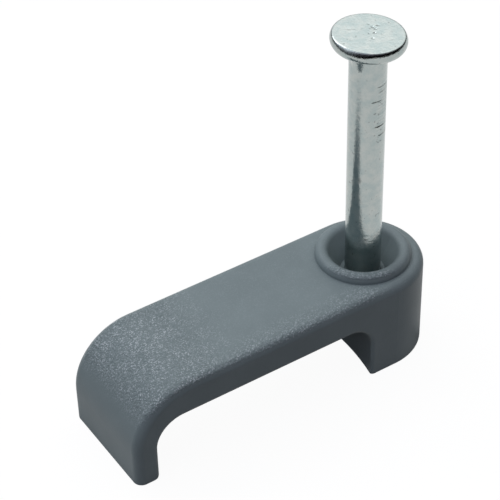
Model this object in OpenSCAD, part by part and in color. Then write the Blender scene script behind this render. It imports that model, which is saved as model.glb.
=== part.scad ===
// Nail-in cable clip: a moulded strap that bridges flat cables, with a steel nail
// standing ready in the boss at one end and a hooked leg at the other.
// The wall is the plane z = 0, the nail's axis is the z axis, the hook lies towards -x
// and the cables run along y.

/* [Strap] */
// Width of the clip, measured along the cables
clip_w = 7.9; // [7.7:0.1:14]
// Clear length for the cables between the hook and the boss
opening_l = 16.1; // [10:0.1:30]
// Clear height for the cables under the bar
opening_h = 4.3; // [4:0.05:9]
// Thickness of the bar over the cables
bar_t = 2.4; // [1.6:0.05:3]
// Thickness of the hook's leg
hook_t = 1.6; // [1.2:0.05:2.4]
// Radius outside the bend of the hook
bend_outer_r = 4.2; // [3:0.05:5.4]
// Radius inside the bend of the hook
bend_inner_r = 1.9; // [0.8:0.1:2.6]
// Radius between the bar and the boss, over the cables
boss_fillet_r = 1.7; // [0.8:0.1:2]
// Rounding of the outside edges
edge_r = 0.6; // [0.2:0.05:0.75]
// Rounding of the edges at the two mouths of the opening
mouth_r = 0.3; // [0.1:0.02:0.4]
// Rounding inside the foot of the hook, which lets the cables slip in
toe_r = 0.45; // [0.3:0.05:0.9]

/* [Boss] */
// Distance from the nail's axis to the two edges of the boss's inner face
boss_wall = 2.05; // [2:0.05:3]
// Depth of the hollow across the boss's inner face
boss_hollow = 0.45; // [0.05:0.05:0.5]
// Height of the rim's crest above the bar
rim_h = 0.55; // [0.5:0.05:1.2]
// Diameter of the rim's crest
rim_d = 5.4; // [5.2:0.1:5.6]
// Rounding outside the rim's crest
rim_outer_r = 0.45; // [0.2:0.05:0.5]
// Rounding inside the rim's crest
rim_inner_r = 0.5; // [0.3:0.05:0.7]
// Depth of the cup inside the rim, below its crest
cup_depth = 1.8; // [1.4:0.1:2.2]
// Steepness of the cup's side, in degrees
cup_slope = 62; // [60:1:70]
// Gap all round between the nail's shank and its bore
bore_clearance = 0.03; // [0.01:0.01:0.1]

/* [Nail] */
// Diameter of the shank
shank_d = 2.35; // [1.8:0.05:2.6]
// Length of the nail over head and point
nail_l = 22.9; // [16:0.1:40]
// Diameter of the head
head_d = 4.7; // [4.4:0.1:4.8]
// Thickness of the head
head_t = 0.75; // [0.4:0.05:0.9]
// Radius of the bulge round the head's rim
head_bulge_r = 0.55; // [0.5:0.05:0.9]
// Radius of the neck between the head and the shank
neck_r = 0.6; // [0.2:0.05:0.6]
// Length of the four-sided point
point_l = 3.2; // [2:0.1:5]
// Height of the point above the wall before the nail is driven
point_lift = 0.7; // [0.2:0.1:3]

/* [Hidden] */
$fn = 96;

// Length by which a cutter passes the face that it cuts
past = 1;

// Places along the strap
top_z = opening_h + bar_t;
boss_x = -boss_wall;
hook_in_x = boss_x - opening_l;
hook_x = hook_in_x - hook_t;
middle_x = boss_x - opening_l / 2;
side_y = clip_w / 2;

// Radius of the boss's inner face, in plan
boss_hollow_r = (side_y * side_y + boss_hollow * boss_hollow) / (2 * boss_hollow);

// Nail, with heights measured from its point
shank_r = shank_d / 2;
head_r = head_d / 2;
head_under_z = nail_l - head_t;

// Rim, cup and bore, by their distance from the nail's axis
bore_r = shank_r + bore_clearance;
rim_crest_r = rim_d / 2;
rim_r = rim_crest_r + rim_outer_r;

// Heights of the rim and of the cup
rim_top_z = top_z + rim_h;
rim_outer_z = rim_top_z - rim_outer_r;
rim_inner_z = rim_top_z - rim_inner_r;
cup_floor_z = rim_top_z - cup_depth;

// Upper end of the cup's side, which lies just within the rim's inner rounding
cup_side_reach = 0.995 * rim_inner_r;
cup_side_r = rim_crest_r - cup_side_reach * sin(cup_slope);
cup_side_z = rim_inner_z + cup_side_reach * cos(cup_slope);
cup_floor_r = cup_side_r - (cup_side_z - cup_floor_z) / tan(cup_slope);

// Overlap between the rim's solid and the boss round it
lap = 0.3;

// The strap's section, from its root at zero out to an outer face with rounded edges
module strap_section(reach) {
    translate([0, -side_y])
        square([reach - edge_r, clip_w]);
    translate([0, edge_r - side_y])
        square([reach, clip_w - 2 * edge_r]);
    for (side = [-1, 1])
        translate([reach - edge_r, side * (side_y - edge_r)])
            circle(edge_r);
}

// The strap before it is hollowed: leg, bend and bar follow one section, and the boss closes it
module strap_outside() {
    translate([hook_x + bend_outer_r, 0, 0])
        rotate([0, 0, 180])
            linear_extrude(top_z - bend_outer_r)
                strap_section(bend_outer_r);
    translate([hook_x + bend_outer_r, 0, top_z - bend_outer_r])
        rotate([90, 0, 0])
            rotate([0, 0, 90])
                rotate_extrude(angle = 90)
                    strap_section(bend_outer_r);
    rotate([0, -90, 0])
        linear_extrude(-hook_x - bend_outer_r)
            strap_section(top_z);
    rotate([0, 0, -90])
        rotate_extrude(angle = 180)
            boss_half_section();
}

// Half of the boss's round end, with the same rounded edge as the bar
module boss_half_section() {
    square([side_y - edge_r, top_z]);
    square([side_y, top_z - edge_r]);
    translate([side_y - edge_r, top_z - edge_r])
        circle(edge_r);
}

// Outline of the half of the cables' space that lies by the hook, seen along the cables
module hook_side_section() {
    translate([hook_in_x, -past])
        square([opening_l / 2, opening_h - bend_inner_r + past]);
    translate([hook_in_x + bend_inner_r, -past])
        square([opening_l / 2 - bend_inner_r, opening_h + past]);
    translate([hook_in_x + bend_inner_r, opening_h - bend_inner_r])
        circle(bend_inner_r);
}

// Half section of a wide disc with a rounded upper edge, which hollows the boss's inner face
module hollow_half_section() {
    translate([0, -past])
        square([boss_hollow_r - boss_fillet_r, opening_h + past]);
    translate([0, -past])
        square([boss_hollow_r, opening_h - boss_fillet_r + past]);
    translate([boss_hollow_r - boss_fillet_r, opening_h - boss_fillet_r])
        circle(boss_fillet_r);
}

// Space for the cables, between the hook and the boss
module opening() {
    translate([0, side_y + past, 0])
        rotate([90, 0, 0])
            linear_extrude(clip_w + 2 * past)
                hook_side_section();
    intersection() {
        translate([boss_x + boss_hollow - boss_hollow_r, 0, 0])
            rotate_extrude()
                hollow_half_section();
        translate([middle_x - past, -side_y - past, -2 * past])
            cube([opening_l / 2 + 2 * past, clip_w + 2 * past, opening_h + 4 * past]);
    }
}

// Section of a cutter that rounds a square edge: the corner's two faces are the two axes
module edge_cutter(r) {
    difference() {
        translate([-past, -past])
            square(r + past);
        translate([r, r])
            circle(r);
    }
}

// Cutters that round one mouth of the opening, from the hook's foot over the bar to the boss
module mouth_cutters() {
    translate([hook_in_x, side_y, -past])
        rotate([0, 0, 180])
            linear_extrude(opening_h - bend_inner_r + past)
                edge_cutter(mouth_r);
    translate([hook_in_x + bend_inner_r, side_y, opening_h - bend_inner_r])
        rotate([90, 0, 0])
            rotate([0, 0, 90])
                rotate_extrude(angle = 90)
                    bend_cutter(bend_inner_r);
    translate([boss_x - boss_fillet_r, side_y, opening_h])
        rotate([0, -90, 0])
            linear_extrude(opening_l - bend_inner_r - boss_fillet_r)
                mirror([0, 1])
                    edge_cutter(mouth_r);
    translate([boss_x - boss_fillet_r, side_y, opening_h - boss_fillet_r])
        rotate([90, 0, 0])
            rotate_extrude(angle = 90)
                bend_cutter(boss_fillet_r);
    translate([boss_x, side_y, -past])
        linear_extrude(opening_h - boss_fillet_r + past)
            mirror([0, 1])
                edge_cutter(mouth_r);
}

// The edge cutter's section at the distance of a bend's wall from its axis
module bend_cutter(bend_r) {
    intersection() {
        translate([bend_r, 0])
            edge_cutter(mouth_r);
        translate([0, -past])
            square([bend_r + mouth_r, mouth_r + past]);
    }
}

// Rounded rim round the nail, with the sloping side and the floor of the cup inside it
module rim() {
    rotate_extrude() {
        polygon([
            [0, cup_floor_z - 2 * lap],
            [rim_r, cup_floor_z - 2 * lap],
            [rim_r, rim_outer_z],
            [rim_crest_r, rim_outer_z],
            [rim_crest_r, rim_inner_z],
            [cup_side_r, cup_side_z],
            [cup_floor_r, cup_floor_z],
            [0, cup_floor_z]
        ]);
        intersection() {
            translate([rim_crest_r, rim_inner_z])
                circle(rim_inner_r);
            translate([0, rim_inner_z])
                square([rim_crest_r, rim_inner_r + past]);
        }
        intersection() {
            translate([rim_crest_r, rim_outer_z])
                circle(rim_outer_r);
            translate([rim_crest_r, rim_outer_z])
                square(rim_outer_r + past);
        }
    }
}

// Room in the boss for the rim's solid and its cup
module rim_pocket() {
    translate([0, 0, cup_floor_z - lap])
        cylinder(r = rim_crest_r, h = rim_top_z);
}

// Bore through the boss for the nail
module bore() {
    translate([0, 0, -past])
        cylinder(r = bore_r, h = rim_top_z + 2 * past);
}

// Moulded strap with its hooked leg, boss, rim and cup
module clip() {
    color([0.43, 0.47, 0.48])
        difference() {
            union() {
                difference() {
                    strap_outside();
                    rim_pocket();
                }
                rim();
            }
            opening();
            for (side = [0, 1])
                mirror([0, side, 0])
                    mouth_cutters();
            translate([hook_in_x, side_y + past, 0])
                rotate([90, 0, 0])
                    linear_extrude(clip_w + 2 * past)
                        mirror([1, 0])
                            edge_cutter(toe_r);
            bore();
        }
}

// Half section of the nail, round its axis, with the shank square at its lower end
module nail_half_section() {
    square([shank_r, nail_l]);
    translate([0, head_under_z]) {
        square([head_r - head_bulge_r, head_t]);
        intersection() {
            translate([head_r - head_bulge_r, head_t / 2])
                circle(head_bulge_r);
            square([head_r, head_t]);
        }
        difference() {
            translate([0, -neck_r])
                square([shank_r + neck_r, neck_r]);
            translate([shank_r + neck_r, -neck_r])
                circle(neck_r);
        }
    }
}

// Wedge whose two flat sides meet in the nail's point
module point_wedge() {
    wedge_h = nail_l + past;
    wedge_half_w = wedge_h * shank_r / point_l;
    rotate([90, 0, 0])
        linear_extrude(2 * wedge_half_w, center = true)
            polygon([[0, 0], [wedge_half_w, wedge_h], [-wedge_half_w, wedge_h]]);
}

// Steel nail with a flat round head and a four-sided point
module nail() {
    color([0.78, 0.79, 0.8])
        translate([0, 0, point_lift])
            intersection() {
                rotate_extrude()
                    nail_half_section();
                point_wedge();
                rotate([0, 0, 90])
                    point_wedge();
            }
}

clip();
nail();
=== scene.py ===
import math

import bpy
import numpy as np
from mathutils import Matrix, Vector


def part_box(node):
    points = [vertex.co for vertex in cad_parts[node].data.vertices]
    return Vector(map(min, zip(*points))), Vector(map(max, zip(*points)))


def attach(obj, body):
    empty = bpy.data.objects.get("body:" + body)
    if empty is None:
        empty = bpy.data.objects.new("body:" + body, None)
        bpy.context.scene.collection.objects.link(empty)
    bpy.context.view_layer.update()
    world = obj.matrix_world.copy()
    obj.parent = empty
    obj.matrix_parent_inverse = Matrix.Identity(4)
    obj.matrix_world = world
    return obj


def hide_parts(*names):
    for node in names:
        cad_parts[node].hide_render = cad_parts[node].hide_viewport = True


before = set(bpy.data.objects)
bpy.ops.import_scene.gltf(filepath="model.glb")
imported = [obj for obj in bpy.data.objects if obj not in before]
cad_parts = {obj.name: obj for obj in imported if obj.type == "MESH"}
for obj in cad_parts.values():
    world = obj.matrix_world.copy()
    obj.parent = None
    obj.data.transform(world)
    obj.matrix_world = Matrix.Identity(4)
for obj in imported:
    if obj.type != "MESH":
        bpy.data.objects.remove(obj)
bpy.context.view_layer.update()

MM = 0.001
WHITE = (1, 1, 1, 1)

# Camera, fitted to the clip's outline: angles in degrees and lengths in millimetres
CAMERA_AZIMUTH = 32.63
CAMERA_ELEVATION = 39.81
CAMERA_ROLL = -1.34
CAMERA_DISTANCE = 119.02
CAMERA_TARGET = (-6.078, 4.086, 7.070)
CAMERA_LENS = 131.97
CAMERA_SENSOR = 36
CAMERA_NEAR = 5

# Nail, in millimetres
SHANK_R = 1.175
HEAD_T = 0.75
HEAD_BULGE_R = 0.55
HEAD_EDGE = 0.05
NECK_R = 0.6
POINT_L = 3.2

# Nail's mesh: vertices round a ring, and rings on the head's top, on its rim, on the neck and on the point
NAIL_TURNS = 176
TOP_RINGS = 40
RIM_RINGS = 15
NECK_RINGS = 12
POINT_RINGS = 60

# Ends of the stretches of rings and steps between the shank's rings, in millimetres
TOP_INNER_R = 0.03
GRIP_MARGIN = 0.1
GRIP_STEP = 0.03
PLAIN_STEP = 0.12
PLAIN_END_Z = 5.0
POINT_START_Z = 4.9
TIP_GAP = 0.04

# Softened edges of the head, as shares: inwards and down within the edge, and of the rim's arc
EDGE_IN = 0.3
EDGE_DOWN = 0.12
RIM_ARC = 0.9

# Way in which the head sits out of square: a direction in plan, a slope and a lift
HEAD_LEAN_DIRECTION = math.radians(-32.6)
HEAD_LEAN_SLOPE = 0.05
HEAD_LIFT = 0.05

# Grooves left by the dies that gripped the wire: height, depth, and direction and half width in degrees
GRIP_MARKS = (
    (20.45, 0.038, -72, 34),
    (20.10, 0.026, -66, 28),
    (19.44, 0.048, -91, 30),
    (19.00, 0.026, -64, 26),
    (18.50, 0.022, -75, 34),
    (18.10, 0.028, -62, 24),
    (17.56, 0.030, -84, 34),
    (17.20, 0.026, -64, 24),
    (16.86, 0.036, -68, 28),
)
GRIP_MARK_WIDTH = 0.036
MARK_WHOLE_SHARE = 0.5

# Ripples between the grooves, the stretch of the shank that has them and how they fade at its two ends
GRIP_RIPPLE_PITCH = 0.23
GRIP_RIPPLE_DEPTH = 0.015
GRIP_RIPPLE_FLANK = (-72, 34)
GRIP_ZONE = (16.6, 20.8)
GRIP_FADE_LOW = 0.6
GRIP_FADE_HIGH = 0.4

# Fins at the seam of the dies, under the head: direction and half width in degrees, height and two ends
NECK_FIN_FLANK = (-150, 42)
NECK_FIN_HEIGHT = 0.17
NECK_FIN_ENDS = (21.5, 22.75)
NECK_FIN_MARGIN = 0.1

# Bevel on the upper half of the head's rim: direction and half width in degrees, depth and steepness
HEAD_BEVEL_DIRECTION = -152
HEAD_BEVEL_HALF_WIDTH = 36
HEAD_BEVEL_DEPTH = 0.07
HEAD_BEVEL_POWER = 6

# Dents in the head's top, in its own plane: place across and along, size and depth
HEAD_DENTS = (
    (0.05, 1.05, 0.06, 0.03),
    (0.25, 0.75, 0.09, 0.05),
    (0.60, 0.95, 0.07, 0.04),
    (0.42, 0.55, 0.08, 0.05),
    (0.50, 0.75, 0.06, -0.03),
    (0.10, 0.60, 0.05, 0.03),
    (0.35, 0.10, 0.07, 0.06),
    (0.20, -0.50, 0.07, 0.05),
    (-1.20, 0.45, 0.10, 0.015),
    (-0.90, 0.30, 0.12, -0.012),
    (1.30, -0.55, 0.08, 0.012),
)
HEAD_TOP_MARGIN = 0.001

# A fade, here and below, has the two limits of what it follows, and then its values at those limits
# Where the plastic has its grain and its painted glints, by the slope of the face and by the place in
# millimetres
GRAIN_SLOPE = (0.35, 0.8, 0.0, 1.0)
GRAIN_FROM_HOOK = (-15.5, -10.0, 1.0, 0.1)
GRAIN_FROM_FRONT = (-3.4, -1.6, 0.7, 0.0)
GRAIN_BEFORE_BOSS = (-2.5, 0.5, 1.0, 0.0)
GRAIN_RIM_AIM = (-0.66, -0.75, 0)
GRAIN_RIM_FRONT = (1.7, 2.5, 0.0, 0.8)
GRAIN_RIM_HEIGHT = (6.9, 7.1, 0.0, 1.0)

# Plastic: its colours, with the light one of its painted glints, and its gloss and relief from where it is
# smooth to where the grain is whole
PLASTIC_DARK = (0.150, 0.1875, 0.1925, 1)
PLASTIC_LIGHT = (0.165, 0.205, 0.210, 1)
PLASTIC_GLINT_PAINT = (0.381, 0.422, 0.440, 1)
PLASTIC_SPECULAR = 0.2
PLASTIC_ROUGHNESS = (0.0, 1.0, 0.46, 0.38)
PLASTIC_RELIEF = (0.0, 1.0, 0.06, 1.0)
PLASTIC_BUMP_STRENGTH = 0.8
PLASTIC_BUMP_HEIGHT = 0.15

# Patterns of the plastic: each noise has its scale per millimetre, detail and roughness; the cells and
# their patches set the painted glints
PLASTIC_CLOUD_NOISE = (0.35, 3.0, 0.55)
PLASTIC_CLOUD_FADE = (0.3, 0.7, 0.0, 1.0)
GRAIN_NOISE = (7.0, 2.0, 0.6)
PAINTED_GLINT_SCALE = 14.5
PAINTED_GLINT_CHANCE = (0.62, 0.98, 0.0, 1.0)
PAINTED_GLINT_PATCH_NOISE = (1.1, 2.0, 0.5)
PAINTED_GLINT_PATCH_FADE = (0.35, 0.65, 0.45, 1.0)

# Steel: its colours, gloss and relief
STEEL_DARK = (0.345, 0.402, 0.399, 1)
STEEL_LIGHT = (0.43, 0.463, 0.449, 1)
STEEL_SPECK = (0.10, 0.11, 0.11, 1)
STEEL_SPECK_SHARE = 0.5
STEEL_ROUGHNESS = (0.25, 0.75, 0.10, 0.19)
STEEL_STREAK_SHARE = 0.3
STEEL_PIT_SHARE = 0.7
STEEL_BUMP_STRENGTH = 1.0
STEEL_BUMP_HEIGHT = 0.022

# Patterns of the steel, as for the plastic
STEEL_STRETCH = (1.0, 1.0, 0.08)
STEEL_STREAK_NOISE = (7.0, 3.0, 0.6)
STEEL_PIT_NOISE = (5.5, 3.0, 0.65)
STEEL_PATCH_NOISE = (1.6, 3.0, 0.65)
STEEL_PATCH_FADE = (0.3, 0.7, 0.0, 1.0)
STEEL_SPECK_NOISE = (3.8, 1.0, 0.5)
STEEL_SPECK_FADE = (0.68, 0.75, 0.0, 1.0)

# Floor: its half width, and in plan the clip's footprint, under which a shadow is painted into its
# reflection, in millimetres
FLOOR_HALF = 1500
FOOTPRINT_MIDDLE_X = -8.0
FOOTPRINT_HALF_LENGTH = 12.0
FOOTPRINT_HALF_WIDTH = 4.0
FLOOR_PAINTED_SHADOW = (-1.5, 1.0, 0.1, 1.0)

# Floor's colours, to the eye and for the light it throws back, and the share and strength of its white
FLOOR_SEEN = (0.95, 0.95, 0.95, 1)
FLOOR_BOUNCED = (0.06, 0.06, 0.06, 1)
FLOOR_WHITE_SHARE = 0.94
FLOOR_WHITE_STRENGTH = 1.01

# Soft light of the world, by the height, depth and side that it comes from
SOFT_BY_HEIGHT = (0.1, 0.85, 0.04, 0.90)
SOFT_BY_DEPTH = (-0.8, 0.8, 0.09, 1.62)
SOFT_AT_LEFT = (-0.9, 0.3, 1.4, 1.0)
SOFT_AT_RIGHT = (0.3, 0.9, 1.0, 1.2)

# Brighter patches of the world: the way to each, and its fade from edge to middle
WINDOW_AIM = (0.45, 0.70, 0.55)
WINDOW_FADE = (0.75, 1.0, 0.0, 0.63)
FILL_LEFT_AIM = (-0.76, -0.35, 0.55)
FILL_LEFT_FADE = (0.55, 1.0, 0.0, 0.88)
FILL_RIGHT_AIM = (0.80, -0.42, 0.43)
FILL_RIGHT_FADE = (0.6, 1.0, 0.0, 0.74)
FILL_BY_HEIGHT = (0.1, 0.45, 0.0, 1.0)

# Dark flag on the camera's side, seen only in reflections, and the world's level outside them and in them
FLAG_BY_DEPTH = (-0.35, 0.05, 1.0, 0.0)
FLAG_BY_HEIGHT = (0.45, 0.80, 1.0, 0.0)
FLAG_DARKNESS = 0.87
WORLD_LEVEL = (0.0, 1.0, 0.8, 1.0)

# Tints of the world's light
TINT_LEFT = (0.95, 1.0, 1.10, 1)
TINT_RIGHT = (0.98, 1.0, 1.0, 1)
TINT_ACROSS = (-0.7, 0.7, 0.0, 1.0)
TINT_FRONT = (1.05, 0.97, 1.08, 1)
TINT_BY_DEPTH = (-0.7, 0.3, 0.0, 1.0)

# Softbox: the way to it, what it aims at, its distance and size in millimetres, and its power in watts
SOFTBOX_WAY = (-0.1, 0.65, 0.76)
SOFTBOX_AIM = (-8, 0, 4)
SOFTBOX_DISTANCE = 200
SOFTBOX_SIZE = 120
SOFTBOX_POWER = 0.096


class Graph:
    """Builds one node tree: adds nodes, sets their inputs and joins them."""

    def __init__(self, tree):
        self.tree = tree
        tree.nodes.clear()

    def add(self, kind, settings=None, inputs=None):
        made = self.tree.nodes.new(kind)
        for name, value in (settings or {}).items():
            setattr(made, name, value)
        for name, value in (inputs or {}).items():
            self.put(made.inputs[name], value)
        return made

    def put(self, socket, value):
        if isinstance(value, bpy.types.NodeSocket):
            self.tree.links.new(value, socket)
        else:
            socket.default_value = value

    def math(self, operation, first, second=0.0):
        made = self.add("ShaderNodeMath", {"operation": operation}, {0: first, 1: second})
        return made.outputs[0]

    def times(self, first, second):
        return self.math("MULTIPLY", first, second)

    def most(self, first, second):
        return self.math("MAXIMUM", first, second)

    def fade(self, value, low, high, out_low, out_high):
        """A smooth change from one value to another while what it follows goes from low to high."""
        inputs = {
            "Value": value,
            "From Min": low,
            "From Max": high,
            "To Min": out_low,
            "To Max": out_high,
        }
        made = self.add("ShaderNodeMapRange", {"interpolation_type": "SMOOTHSTEP"}, inputs)
        return made.outputs["Result"]

    def noise(self, point, scale, detail, roughness):
        inputs = {"Vector": point, "Scale": scale, "Detail": detail, "Roughness": roughness}
        return self.add("ShaderNodeTexNoise", None, inputs).outputs["Fac"]

    def blend(self, share, first, second):
        """A colour between two others: the Mix node has a socket of each kind, here those for colours."""
        made = self.add("ShaderNodeMix", {"data_type": "RGBA"})
        self.put(made.inputs[0], share)
        self.put(made.inputs[6], first)
        self.put(made.inputs[7], second)
        return made.outputs[2]

    def bump(self, strength, distance, height):
        inputs = {"Strength": strength, "Distance": distance, "Height": height}
        return self.add("ShaderNodeBump", None, inputs).outputs["Normal"]

    def towards(self, direction, aim):
        """How far a direction or place lies the way of the aim."""
        inputs = {0: direction, 1: aim}
        return self.add("ShaderNodeVectorMath", {"operation": "DOT_PRODUCT"}, inputs).outputs["Value"]

    def place(self):
        """The object's own coordinates in millimetres, whole and in parts, and the parts of its normal."""
        coordinates = self.add("ShaderNodeTexCoord")
        inputs = {0: coordinates.outputs["Object"], "Scale": 1 / MM}
        scaled = self.add("ShaderNodeVectorMath", {"operation": "SCALE"}, inputs)
        parts = self.add("ShaderNodeSeparateXYZ", None, {0: scaled.outputs[0]})
        facing = self.add("ShaderNodeSeparateXYZ", None, {0: coordinates.outputs["Normal"]})
        return scaled.outputs[0], parts.outputs, facing.outputs


def new_graph(name):
    material = bpy.data.materials.new(name)
    material.use_nodes = True
    return material, Graph(material.node_tree)


def finish_surface(graph, inputs):
    """Gives a material its one shader."""
    shader = graph.add("ShaderNodeBsdfPrincipled", None, inputs)
    graph.add("ShaderNodeOutputMaterial", None, {"Surface": shader.outputs["BSDF"]})


def grain_and_glint_places(graph, point, parts, facing):
    """Share of the grain and of its painted glints: whole on the bend, weaker along the front edge and on
    the front of the rim.
    """
    by_hook = graph.fade(parts["X"], *GRAIN_FROM_HOOK)
    by_front = graph.fade(parts["Y"], *GRAIN_FROM_FRONT)
    by_front = graph.times(by_front, graph.fade(parts["X"], *GRAIN_BEFORE_BOSS))
    rim_front = graph.fade(graph.towards(point, GRAIN_RIM_AIM), *GRAIN_RIM_FRONT)
    on_rim = graph.times(graph.fade(parts["Z"], *GRAIN_RIM_HEIGHT), rim_front)
    places = graph.most(graph.most(by_hook, by_front), on_rim)
    return graph.times(graph.fade(facing["Z"], *GRAIN_SLOPE), places)


def plastic_material():
    """Grey moulded plastic: smooth, with a grain where the mould was spark-eroded, and painted glints on it
    as light spots in its colour.
    """
    material, graph = new_graph("clip_plastic")
    point, parts, facing = graph.place()
    grain_and_glint_share = grain_and_glint_places(graph, point, parts, facing)
    # Painted glints: sparse light spots mixed into the base colour over the grain, in place of the glints
    # of its facets
    cells = graph.add("ShaderNodeTexVoronoi", {"feature": "F1"}, {"Vector": point, "Scale": PAINTED_GLINT_SCALE})
    chance = graph.add("ShaderNodeSeparateColor", None, {0: cells.outputs["Color"]}).outputs[0]
    patchy = graph.fade(graph.noise(point, *PAINTED_GLINT_PATCH_NOISE), *PAINTED_GLINT_PATCH_FADE)
    painted_glints = graph.times(graph.fade(chance, *PAINTED_GLINT_CHANCE), graph.times(grain_and_glint_share, patchy))
    cloud = graph.fade(graph.noise(point, *PLASTIC_CLOUD_NOISE), *PLASTIC_CLOUD_FADE)
    broad = graph.blend(cloud, PLASTIC_DARK, PLASTIC_LIGHT)
    relief = graph.times(graph.noise(point, *GRAIN_NOISE), graph.fade(grain_and_glint_share, *PLASTIC_RELIEF))
    finish_surface(graph, {
        "Base Color": graph.blend(painted_glints, broad, PLASTIC_GLINT_PAINT),
        "Roughness": graph.fade(grain_and_glint_share, *PLASTIC_ROUGHNESS),
        "Specular IOR Level": PLASTIC_SPECULAR,
        "Normal": graph.bump(PLASTIC_BUMP_STRENGTH, PLASTIC_BUMP_HEIGHT * MM, relief),
    })
    return material


def steel_material():
    """Bright zinc plate over drawn wire: faint lengthwise streaks, pits, dull patches and dark specks."""
    material, graph = new_graph("nail_steel")
    point = graph.place()[0]
    stretched = graph.add("ShaderNodeMapping", None, {"Vector": point, "Scale": STEEL_STRETCH})
    streaks = graph.noise(stretched.outputs["Vector"], *STEEL_STREAK_NOISE)
    pitting = graph.noise(point, *STEEL_PIT_NOISE)
    patches = graph.noise(point, *STEEL_PATCH_NOISE)
    specks = graph.fade(graph.noise(point, *STEEL_SPECK_NOISE), *STEEL_SPECK_FADE)
    plate = graph.blend(graph.fade(patches, *STEEL_PATCH_FADE), STEEL_DARK, STEEL_LIGHT)
    streak_relief = graph.times(streaks, STEEL_STREAK_SHARE)
    relief = graph.math("ADD", streak_relief, graph.times(pitting, STEEL_PIT_SHARE))
    finish_surface(graph, {
        "Base Color": graph.blend(graph.times(specks, STEEL_SPECK_SHARE), plate, STEEL_SPECK),
        "Metallic": 1.0,
        "Roughness": graph.fade(patches, *STEEL_ROUGHNESS),
        "Normal": graph.bump(STEEL_BUMP_STRENGTH, STEEL_BUMP_HEIGHT * MM, relief),
    })
    return material


def floor_material():
    """White to the eye, and in reflections except under the clip, where a shadow is painted into them; dark
    for the light it throws back.
    """
    material, graph = new_graph("floor")
    parts = graph.place()[1]
    # Painted shadow: under the clip's footprint its reflections lose the white and show the dark bounce
    # colour
    from_middle = graph.math("ABSOLUTE", graph.math("SUBTRACT", parts["X"], FOOTPRINT_MIDDLE_X))
    past_end = graph.math("SUBTRACT", from_middle, FOOTPRINT_HALF_LENGTH)
    past_side = graph.math("SUBTRACT", graph.math("ABSOLUTE", parts["Y"]), FOOTPRINT_HALF_WIDTH)
    clear = graph.fade(graph.most(past_end, past_side), *FLOOR_PAINTED_SHADOW)
    path = graph.add("ShaderNodeLightPath").outputs
    bounced = graph.most(path["Is Diffuse Ray"], path["Is Glossy Ray"])
    matte_inputs = {"Color": graph.blend(bounced, FLOOR_SEEN, FLOOR_BOUNCED)}
    matte = graph.add("ShaderNodeBsdfDiffuse", None, matte_inputs)
    glow_inputs = {"Color": WHITE, "Strength": FLOOR_WHITE_STRENGTH}
    glow = graph.add("ShaderNodeEmission", None, glow_inputs)
    mirrored = graph.most(path["Is Glossy Ray"], path["Is Transmission Ray"])
    seen = graph.most(path["Is Camera Ray"], graph.times(mirrored, clear))
    share = graph.times(seen, FLOOR_WHITE_SHARE)
    mixed = graph.add("ShaderNodeMixShader", None, {0: share, 1: matte.outputs[0], 2: glow.outputs[0]})
    graph.add("ShaderNodeOutputMaterial", None, {"Surface": mixed.outputs[0]})
    return material


def arc_point(middle_r, middle_z, arc_r, angle):
    """Radius and height of a point on an arc of the nail's profile."""
    return middle_r + arc_r * math.cos(angle), middle_z + arc_r * math.sin(angle)


def nail_profile(top_z, head_r):
    """Radius and height of each ring of the nail, from the middle of its head to its shank."""
    under_z = top_z - HEAD_T
    shank_top = under_z - NECK_R
    grip_end = GRIP_ZONE[0] - GRIP_MARGIN
    bulge_x = head_r - HEAD_BULGE_R
    bulge_angle = math.asin(HEAD_T / 2 / HEAD_BULGE_R)
    flat_r = bulge_x + HEAD_BULGE_R * math.cos(bulge_angle)
    edge_r = flat_r - EDGE_IN * HEAD_EDGE
    edge_drop = EDGE_DOWN * HEAD_EDGE
    neck_x = SHANK_R + NECK_R
    rings = [(r, top_z) for r in np.linspace(TOP_INNER_R, flat_r - HEAD_EDGE, TOP_RINGS)]
    rings.append((edge_r, top_z - edge_drop))
    for share in np.linspace(RIM_ARC, -RIM_ARC, RIM_RINGS):
        rings.append(arc_point(bulge_x, top_z - HEAD_T / 2, HEAD_BULGE_R, share * bulge_angle))
    rings.append((edge_r, under_z + edge_drop))
    rings.append(((flat_r + neck_x) / 2, under_z))
    for angle in np.linspace(0.5, 1.0, NECK_RINGS) * math.pi:
        rings.append(arc_point(neck_x, shank_top, NECK_R, angle))
    rings += [(SHANK_R, z) for z in np.arange(shank_top - GRIP_STEP, grip_end, -GRIP_STEP)]
    rings += [(SHANK_R, z) for z in np.arange(grip_end, PLAIN_END_Z, -PLAIN_STEP)]
    return rings


def nail_rings(top_z, tip_z, head_r):
    """Rings of vertices, with the four flats of the point cut out of the round shank."""
    rings = np.array(nail_profile(top_z, head_r))
    hidden = np.linspace(POINT_START_Z, tip_z + TIP_GAP, POINT_RINGS)
    rings = np.vstack([rings, np.column_stack([np.full(len(hidden), SHANK_R), hidden])])
    angles = np.arange(NAIL_TURNS) * 2 * math.pi / NAIL_TURNS
    widest = np.maximum(np.abs(np.cos(angles)), np.abs(np.sin(angles)))
    flats = (rings[:, 1:2] - tip_z) * SHANK_R / POINT_L / widest[None, :]
    radius = np.minimum(rings[:, 0:1] * np.ones_like(flats), np.maximum(flats, 0.0))
    height = rings[:, 1:2] * np.ones_like(flats)
    return radius, height, angles


def smooth_step(value, low, high):
    """Share that rises smoothly from 0 at the low limit to 1 at the high one."""
    share = np.clip((value - low) / (high - low), 0.0, 1.0)
    return share * share * (3 - 2 * share)


def near_angle(angles, direction, half_width):
    """Share of a mark at each angle, whole in the middle of its width and fading to its ends."""
    away = np.abs((angles - math.radians(direction) + math.pi) % (2 * math.pi) - math.pi)
    reach = math.radians(half_width)
    return smooth_step(-away, -reach, -MARK_WHOLE_SHARE * reach)[None, :]


def on_flank(angles, direction, half_width):
    """Share of a mark at each angle, on the flank that it names and on the one opposite."""
    return near_angle(angles, direction, half_width) + near_angle(angles, direction + 180, half_width)


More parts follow.
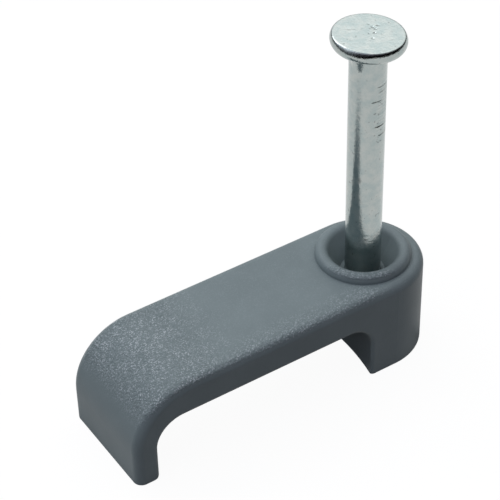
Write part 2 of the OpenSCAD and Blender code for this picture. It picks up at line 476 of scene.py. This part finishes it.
def grip_depth(height, angles):
    """Depth of the dies' grooves and ripples at each vertex of the shank, less the height of the fins."""
    depth = np.zeros_like(height)
    for mark_z, mark_depth, direction, half_width in GRIP_MARKS:
        groove = mark_depth * np.exp(-((height - mark_z) / GRIP_MARK_WIDTH) ** 2)
        depth += groove * on_flank(angles, direction, half_width)
    ripple = GRIP_RIPPLE_DEPTH * (1 + np.sin(height * 2 * math.pi / GRIP_RIPPLE_PITCH))
    low, high = GRIP_ZONE
    above_low = smooth_step(height, low, low + GRIP_FADE_LOW)
    below_high = smooth_step(-height, -high, GRIP_FADE_HIGH - high)
    depth += ripple * (above_low * below_high) * on_flank(angles, *GRIP_RIPPLE_FLANK)
    below_head = height < NECK_FIN_ENDS[1] + NECK_FIN_MARGIN
    fin = NECK_FIN_HEIGHT * smooth_step(height, *NECK_FIN_ENDS) * below_head
    depth -= fin * on_flank(angles, *NECK_FIN_FLANK)
    return depth


def head_bevel(radius, height, angles, top_z, head_r):
    """Shift towards the axis of the head's upper rim, where the die bevelled it."""
    rise = np.clip((height - top_z) / (HEAD_T / 2) + 1, 0.0, 1.0)
    reach = (radius / head_r) ** HEAD_BEVEL_POWER
    stretch = near_angle(angles, HEAD_BEVEL_DIRECTION, HEAD_BEVEL_HALF_WIDTH)
    return HEAD_BEVEL_DEPTH * rise * reach * stretch


def head_shift(points, top_z):
    """Lift of each vertex that sets the head a little out of square and dents its top."""
    lean_x = math.cos(HEAD_LEAN_DIRECTION)
    lean_y = math.sin(HEAD_LEAN_DIRECTION)
    across = points[..., 0] * lean_x + points[..., 1] * lean_y
    along = points[..., 1] * lean_x - points[..., 0] * lean_y
    in_head = smooth_step(points[..., 2], top_z - HEAD_T - 2 * NECK_R, top_z - HEAD_T)
    lift = (HEAD_LIFT - HEAD_LEAN_SLOPE * across) * in_head
    on_top = points[..., 2] > top_z - HEAD_TOP_MARGIN
    for dent_x, dent_y, dent_size, dent_depth in HEAD_DENTS:
        reach = ((across - dent_x) ** 2 + (along - dent_y) ** 2) / dent_size ** 2
        lift -= on_top * dent_depth * np.exp(-reach)
    return lift


def nail_faces(rings, turns):
    """Faces of the nail: a fan on the head's top, squares between the rings and a fan round the tip."""
    tip = 1 + rings * turns
    faces = []
    for turn in range(turns):
        after = (turn + 1) % turns
        faces.append((0, 1 + turn, 1 + after))
        for ring in range(rings - 1):
            first = 1 + ring * turns
            faces.append((first + turn, first + turns + turn, first + turns + after, first + after))
        last = tip - turns
        faces.append((last + turn, tip, last + after))
    return faces


def nail_piece():
    """The nail on its CAD sizes, with the marks that the dies left on it."""
    low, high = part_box("nail")
    top_z = high.z / MM
    tip_z = low.z / MM
    head_r = (high.x - low.x) / 2 / MM
    radius, height, angles = nail_rings(top_z, tip_z, head_r)
    radius = radius - grip_depth(height, angles) - head_bevel(radius, height, angles, top_z, head_r)
    points = np.stack([radius * np.cos(angles), radius * np.sin(angles), height], axis=-1)
    points[..., 2] += head_shift(points, top_z)
    vertices = [(0.0, 0.0, top_z)] + [tuple(p) for p in points.reshape(-1, 3)] + [(0.0, 0.0, tip_z)]
    mesh = bpy.data.meshes.new("nail_finished")
    mesh.from_pydata([tuple(MM * c for c in v) for v in vertices], [], nail_faces(*radius.shape))
    mesh.polygons.foreach_set("use_smooth", [True] * len(mesh.polygons))
    mesh.update()
    piece = bpy.data.objects.new("nail_finished", mesh)
    bpy.context.scene.collection.objects.link(piece)
    piece.data.materials.append(steel_material())
    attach(piece, "root")
    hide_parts("nail")


def dress_clip():
    """The clip keeps its CAD mesh and gets its plastic."""
    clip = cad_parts["clip"]
    clip.data.materials.clear()
    clip.data.materials.append(plastic_material())


def make_floor():
    """A wide square on the wall's plane, which is the ground in the photo."""
    half = FLOOR_HALF * MM
    corners = [(-half, -half, 0), (half, -half, 0), (half, half, 0), (-half, half, 0)]
    mesh = bpy.data.meshes.new("floor")
    mesh.from_pydata(corners, [], [(0, 1, 2, 3)])
    floor = bpy.data.objects.new("floor", mesh)
    floor.data.materials.append(floor_material())
    bpy.context.scene.collection.objects.link(floor)


def world_strength(graph, direction, parts, mirrored):
    """Strength of the world's light: soft from overhead and behind, with a window, two fills and a flag."""
    height = graph.fade(parts["Z"], *SOFT_BY_HEIGHT)
    depth = graph.fade(parts["Y"], *SOFT_BY_DEPTH)
    side = graph.times(graph.fade(parts["X"], *SOFT_AT_LEFT), graph.fade(parts["X"], *SOFT_AT_RIGHT))
    soft = graph.times(graph.times(height, depth), side)
    window = graph.fade(graph.towards(direction, WINDOW_AIM), *WINDOW_FADE)
    fill_left = graph.fade(graph.towards(direction, FILL_LEFT_AIM), *FILL_LEFT_FADE)
    fill_right = graph.fade(graph.towards(direction, FILL_RIGHT_AIM), *FILL_RIGHT_FADE)
    fill = graph.math("ADD", fill_left, fill_right)
    fill = graph.times(fill, graph.fade(parts["Z"], *FILL_BY_HEIGHT))
    fill = graph.times(fill, graph.math("SUBTRACT", 1.0, mirrored))
    flag = graph.times(graph.fade(parts["Z"], *FLAG_BY_HEIGHT), graph.fade(parts["Y"], *FLAG_BY_DEPTH))
    flag = graph.times(graph.times(flag, mirrored), FLAG_DARKNESS)
    strength = graph.math("ADD", graph.math("ADD", soft, window), fill)
    strength = graph.times(strength, graph.math("SUBTRACT", 1.0, flag))
    return graph.times(strength, graph.fade(mirrored, *WORLD_LEVEL))


def world_tint(graph, parts):
    """Colour of the world's light: cooler from the left, and a little purple from the front."""
    sides = graph.blend(graph.fade(parts["X"], *TINT_ACROSS), TINT_LEFT, TINT_RIGHT)
    fronts = graph.blend(graph.fade(parts["Y"], *TINT_BY_DEPTH), TINT_FRONT, WHITE)
    return graph.add("ShaderNodeVectorMath", {"operation": "MULTIPLY"}, {0: sides, 1: fronts}).outputs[0]


def make_world():
    """A studio's light on the object, and plain white to the camera."""
    world = bpy.data.worlds.new("studio")
    bpy.context.scene.world = world
    world.use_nodes = True
    graph = Graph(world.node_tree)
    direction = graph.add("ShaderNodeTexCoord").outputs["Generated"]
    parts = graph.add("ShaderNodeSeparateXYZ", None, {0: direction}).outputs
    path = graph.add("ShaderNodeLightPath").outputs
    studio_inputs = {
        "Color": world_tint(graph, parts),
        "Strength": world_strength(graph, direction, parts, path["Is Glossy Ray"]),
    }
    studio = graph.add("ShaderNodeBackground", None, studio_inputs)
    white = graph.add("ShaderNodeBackground", None, {"Color": WHITE, "Strength": 1.0})
    inputs = {0: path["Is Camera Ray"], 1: studio.outputs[0], 2: white.outputs[0]}
    mixed = graph.add("ShaderNodeMixShader", None, inputs)
    graph.add("ShaderNodeOutputWorld", None, {"Surface": mixed.outputs[0]})


def make_key_light():
    """One large softbox above and behind the clip, a little to its left."""
    lamp = bpy.data.lights.new("softbox", "AREA")
    lamp.shape = "DISK"
    lamp.size = SOFTBOX_SIZE * MM
    lamp.energy = SOFTBOX_POWER
    light = bpy.data.objects.new("softbox", lamp)
    away = Vector(SOFTBOX_WAY).normalized()
    light.location = (Vector(SOFTBOX_AIM) + away * SOFTBOX_DISTANCE) * MM
    light.rotation_mode = "QUATERNION"
    light.rotation_quaternion = away.to_track_quat("Z", "Y")
    bpy.context.scene.collection.objects.link(light)


def make_camera():
    """The camera of the photo."""
    azimuth = math.radians(CAMERA_AZIMUTH)
    elevation = math.radians(CAMERA_ELEVATION)
    roll = math.radians(CAMERA_ROLL)
    level = math.cos(elevation)
    back = Vector((-math.sin(azimuth) * level, -math.cos(azimuth) * level, math.sin(elevation)))
    right = Vector((math.cos(azimuth), -math.sin(azimuth), 0))
    up = back.cross(right)
    turned_right = math.cos(roll) * right + math.sin(roll) * up
    turned_up = math.cos(roll) * up - math.sin(roll) * right
    data = bpy.data.cameras.new("camera")
    data.sensor_width = CAMERA_SENSOR
    data.lens = CAMERA_LENS
    data.clip_start = CAMERA_NEAR * MM
    camera = bpy.data.objects.new("camera", data)
    place = (Vector(CAMERA_TARGET) + back * CAMERA_DISTANCE) * MM
    turn = Matrix((turned_right, turned_up, back)).transposed()
    camera.matrix_world = Matrix.Translation(place) @ turn.to_4x4()
    bpy.context.scene.collection.objects.link(camera)
    bpy.context.scene.camera = camera


dress_clip()
nail_piece()
make_floor()
make_world()
make_key_light()
make_camera()
bpy.context.scene.view_settings.view_transform = "Standard"
